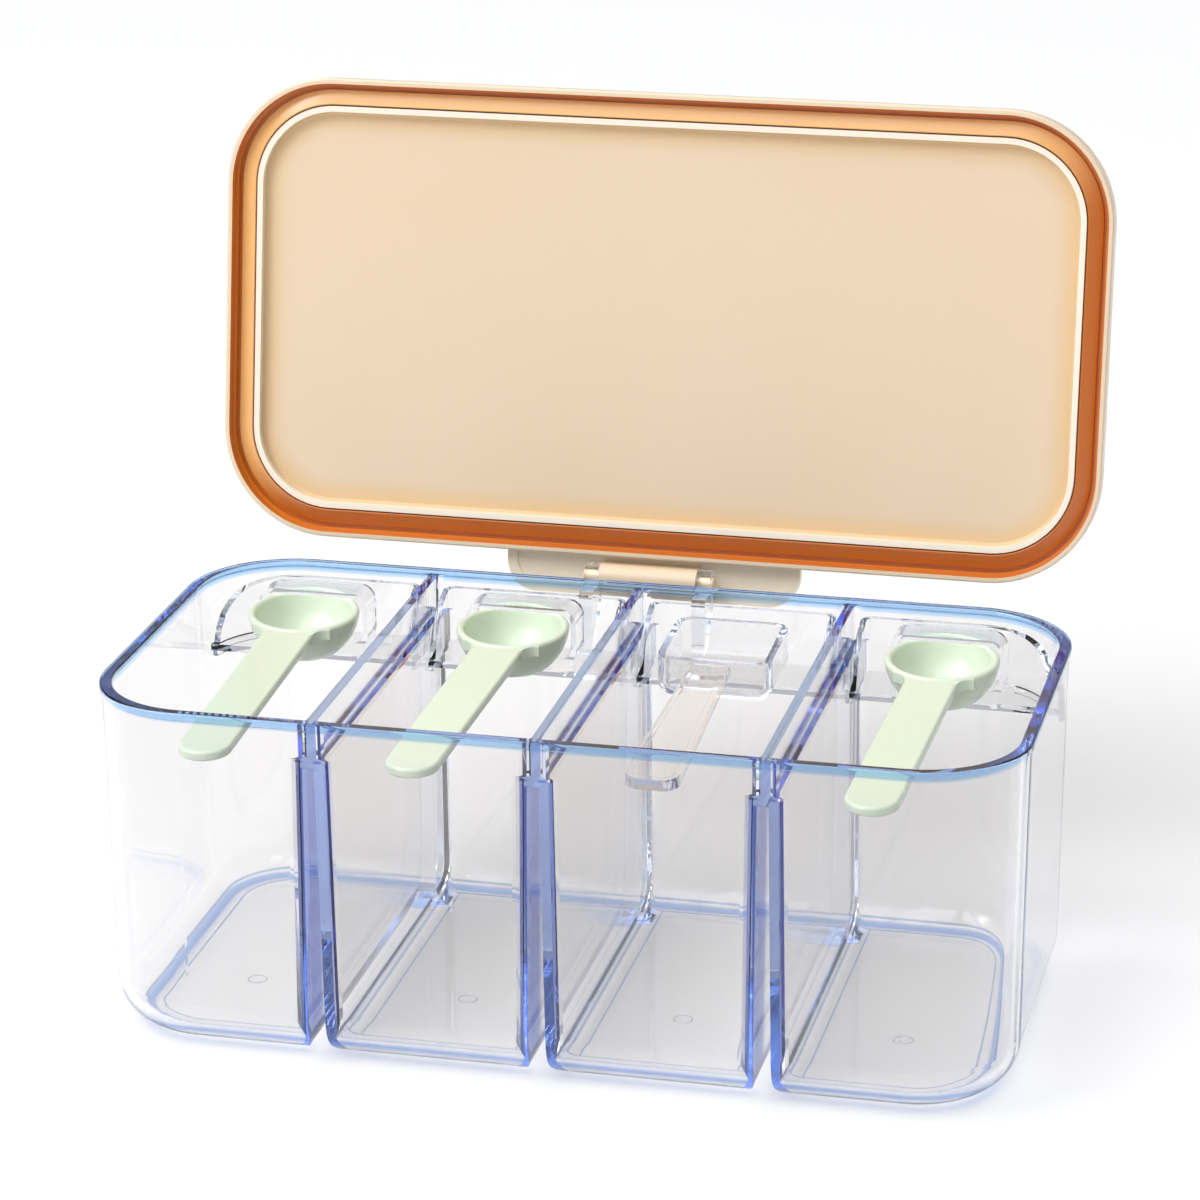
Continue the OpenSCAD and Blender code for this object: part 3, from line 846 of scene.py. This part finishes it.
@dataclass
class Lid:
    """The cream lid and its seal ring."""

    cream: SatinPlastic = SatinPlastic(
        "lid_cream", linear("e6d0b4"), linear("e4cdae"), rough=0.34, grain=0.03, coat=0.35, glow=0.1
    )
    # Painted shade: a deeper cream on the panel's border beside the lip.
    painted_border_shade: Colour = linear("e2c090")
    # Painted light: a lighter cream on the lip.
    painted_lip_light: Colour = linear("fbefdc")
    # Painted light: a lighter cream on the tab, which lies in the skirt's shadow.
    painted_tab_light: Colour = linear("ffefd6")
    channel: SatinPlastic = SatinPlastic(
        "channel_amber", linear("dc7c1c"), linear("d07216"), rough=0.14, grain=0.02, coat=0.6
    )
    ring: SealRing = field(default_factory=SealRing)
    hinge: Point = (0.0, 55.29791 * MM, 98 * MM)
    swing: float = math.radians(99)
    middle_y: float = -18.70209 * MM
    corner: tuple[float, float] = (99 * MM, 36 * MM)
    lip: float = 23.65 * MM
    skirt: float = 30.35 * MM
    skirt_low: float = 97.2 * MM
    channel_top: float = 102.6 * MM
    lip_low: float = 101 * MM
    panel: float = 103 * MM

    def face(self, centre: Vector, normal: Vector) -> int:
        """Tells a face of the seal's channel from the rest of the lid.

        Args:
            centre: the face's centre in the open lid.
            normal: its normal.

        Returns:
            The face's slot.
        """
        turn = Matrix.Rotation(self.swing, 3, "X")
        at = turn @ (centre - Vector(self.hinge)) + Vector(self.hinge)
        way = turn @ normal
        past_x = max(abs(at.x) - self.corner[0], 0)
        past_y = max(abs(at.y - self.middle_y) - self.corner[1], 0)
        out = Vector((past_x, past_y)).length
        inside = self.lip - 0.05 * MM < out < self.skirt + 0.12 * MM
        deep = self.skirt_low + 0.5 * MM < at.z < self.channel_top + 0.1 * MM
        on_lip = out < self.lip + 0.6 * MM and abs(way.z) > 0.5 and at.z < self.lip_low
        return (LidFace.CHANNEL if inside and deep and not on_lip else LidFace.COVER).value

    def painted_light_and_shade(self, bench: Bench) -> list[tuple[Socket, Colour]]:
        """Finds where light and shade are painted: shade in a deeper cream on the panel's border
        beside the lip, and a lighter cream on the lip and on the tab under the skirt's shadow.

        Args:
            bench: the material's bench.

        Returns:
            A mask and a painted colour for each.
        """
        turn = Matrix.Rotation(-self.swing, 3, "X")
        hinge = Vector(self.hinge)
        middle = tuple(turn @ (Vector((0, self.middle_y, self.panel)) - hinge) + hinge)
        up, inward = (tuple(turn @ Vector(way)) for way in ((0, -1, 0), (0, 0, -1)))
        u = bench.beyond(bench.along(middle, (1, 0, 0)), self.corner[0])
        v = bench.beyond(bench.along(middle, up), self.corner[1])
        deep = bench.along(middle, inward)
        ring = bench.radius(u, v)
        # Painted shade on the panel's border beside the lip.
        painted_border_shade = bench.all_of(
            bench.step(ring, 13 * MM, 22 * MM),
            bench.step(ring, 23 * MM, 22.2 * MM),
            bench.step(deep, 1.6 * MM, 0.2 * MM),
            bench.step(deep, -1.4 * MM, -0.9 * MM),
        )
        # Painted light on the lip.
        lip = bench.all_of(
            bench.step(ring, 21.4 * MM, 21.8 * MM),
            bench.step(ring, 24 * MM, 23.8 * MM),
            bench.step(deep, 0.4 * MM, 1 * MM),
        )
        # Painted light on the tab, which lies in the skirt's shadow.
        tab = bench.all_of(
            bench.step(ring, 31.9 * MM, 32.3 * MM),
            bench.step(v, -31 * MM, -32 * MM),
            bench.step(deep, 1.5 * MM, 1.2 * MM),
            bench.step(deep, -1.9 * MM, -1.5 * MM),
        )
        return [(painted_border_shade, self.painted_border_shade), (lip, self.painted_lip_light), (tab, self.painted_tab_light)]

    def build(self) -> None:
        """Builds and dresses the lid and the seal."""
        part = Part("lid", "lid_shell")
        part.dress([self.cream.make(self.painted_light_and_shade), self.channel.make()], self.face)
        part.mount("lid")
        self.ring.build(self.hinge, self.middle_y, self.swing)


@dataclass
class Studio:
    """Floor, lights and the camera at the photograph's angle."""

    eye: Point = (0.26667, -1.11083, 0.51281)
    aim: Point = (-0.22139, 0.91693, -0.33201)
    roll: float = -0.0071
    lens: float = 129.63
    floor_half: float = 9.0
    floor_z: float = -0.3 * MM
    floor_tone: Colour = (0.91, 0.91, 0.91)
    bounces: int = 36

    def camera(self) -> None:
        """Sets the camera along its aim, turned by its roll."""
        data = bpy.data.cameras.new("camera")
        data.lens = self.lens
        data.sensor_width = 36
        data.clip_start, data.clip_end = 0.05, 60  # metres
        camera = bpy.data.objects.new("camera", data)
        turn = Vector(self.aim).to_track_quat("-Z", "Y").to_matrix()
        turn = turn @ Matrix.Rotation(self.roll, 3, "Z")
        camera.matrix_world = Matrix.Translation(self.eye) @ turn.to_4x4()
        bpy.context.scene.collection.objects.link(camera)
        bpy.context.scene.camera = camera

    def floor(self) -> None:
        """Lays the pale floor."""
        h, z = self.floor_half, self.floor_z
        mesh = bpy.data.meshes.new("floor")
        mesh.from_pydata([(-h, -h, z), (h, -h, z), (h, h, z), (-h, h, z)], [], [(0, 1, 2, 3)])
        plane = bpy.data.objects.new("floor", mesh)
        bench = Bench("floor_pale")
        bench.shader(Base_Color=self.floor_tone, Roughness=0.6, Specular_IOR_Level=0.2)
        mesh.materials.append(bench.material)
        bpy.context.scene.collection.objects.link(plane)

    def window(self, spot: Point, size: tuple[float, float], power: float) -> None:
        """Hangs the soft panel lamp that faces the caddy.

        Args:
            spot: where it hangs.
            size: its width and height in metres.
            power: its power in watts.
        """
        data = bpy.data.lights.new("window", "AREA")
        data.shape = "RECTANGLE"
        data.size, data.size_y = size
        data.energy = power
        lamp = bpy.data.objects.new("window", data)
        aim = Vector((0, 0, 0.1)) - Vector(spot)
        lamp.matrix_world = (
            Matrix.Translation(spot) @ aim.to_track_quat("-Z", "Y").to_matrix().to_4x4()
        )
        bpy.context.scene.collection.objects.link(lamp)

    def daylight(self, spot: Point, strength: float, spread: float) -> None:
        """Adds the even soft light that reaches the whole floor.

        Args:
            spot: the direction it comes from.
            strength: its strength.
            spread: how wide it looks, in degrees.
        """
        data = bpy.data.lights.new("daylight", "SUN")
        data.energy = strength
        data.angle = math.radians(spread)
        lamp = bpy.data.objects.new("daylight", data)
        lamp.matrix_world = (-Vector(spot)).to_track_quat("-Z", "Y").to_matrix().to_4x4()
        bpy.context.scene.collection.objects.link(lamp)

    def sky(self, strength: float, flags: float) -> None:
        """Sets the soft light all round, with darker flags to the left and right.

        Args:
            strength: light of the pale part.
            flags: light of the flags, as a share of it.
        """
        world = bpy.data.worlds.new("studio")
        world.use_nodes = True
        tree = world.node_tree
        back = tree.nodes["Background"]
        way = tree.nodes.new("ShaderNodeTexCoord")
        parts = tree.nodes.new("ShaderNodeSeparateXYZ")
        size = tree.nodes.new("ShaderNodeMath")
        size.operation = "ABSOLUTE"
        ramp = tree.nodes.new("ShaderNodeValToRGB")
        tree.links.new(way.outputs["Generated"], parts.inputs[0])
        tree.links.new(parts.outputs[0], size.inputs[0])
        tree.links.new(size.outputs[0], ramp.inputs[0])
        tree.links.new(ramp.outputs[0], back.inputs[0])
        ramp.color_ramp.elements[0].position = 0.5
        ramp.color_ramp.elements[0].color = (0.97, 0.98, 1.0, 1)
        ramp.color_ramp.elements[1].position = 0.85
        ramp.color_ramp.elements[1].color = (flags, flags, flags * 1.1, 1)
        back.inputs[1].default_value = strength
        bpy.context.scene.world = world

    def build(self) -> None:
        """Sets up the whole studio."""
        self.camera()
        self.floor()
        self.daylight((-0.4, -0.35, 1.0), 2.13, 75)
        self.window((-1.1, -0.9, 1.5), (0.7, 0.9), 12)
        self.sky(0.55, 0.25)
        scene = bpy.context.scene
        scene.view_settings.view_transform = "Standard"
        scene.view_settings.look = "None"
        for kind in ("max", "glossy", "transmission", "transparent_max"):
            setattr(scene.cycles, f"{kind}_bounces", self.bounces)


def main() -> None:
    """Builds everything."""
    logging.basicConfig(level=logging.INFO, format="%(message)s")
    Studio().build()
    Tub().build()
    GateMarks().build()
    SpoonRests().build()
    Spoons().build()
    Lid().build()


if __name__ == "__main__":
    main()
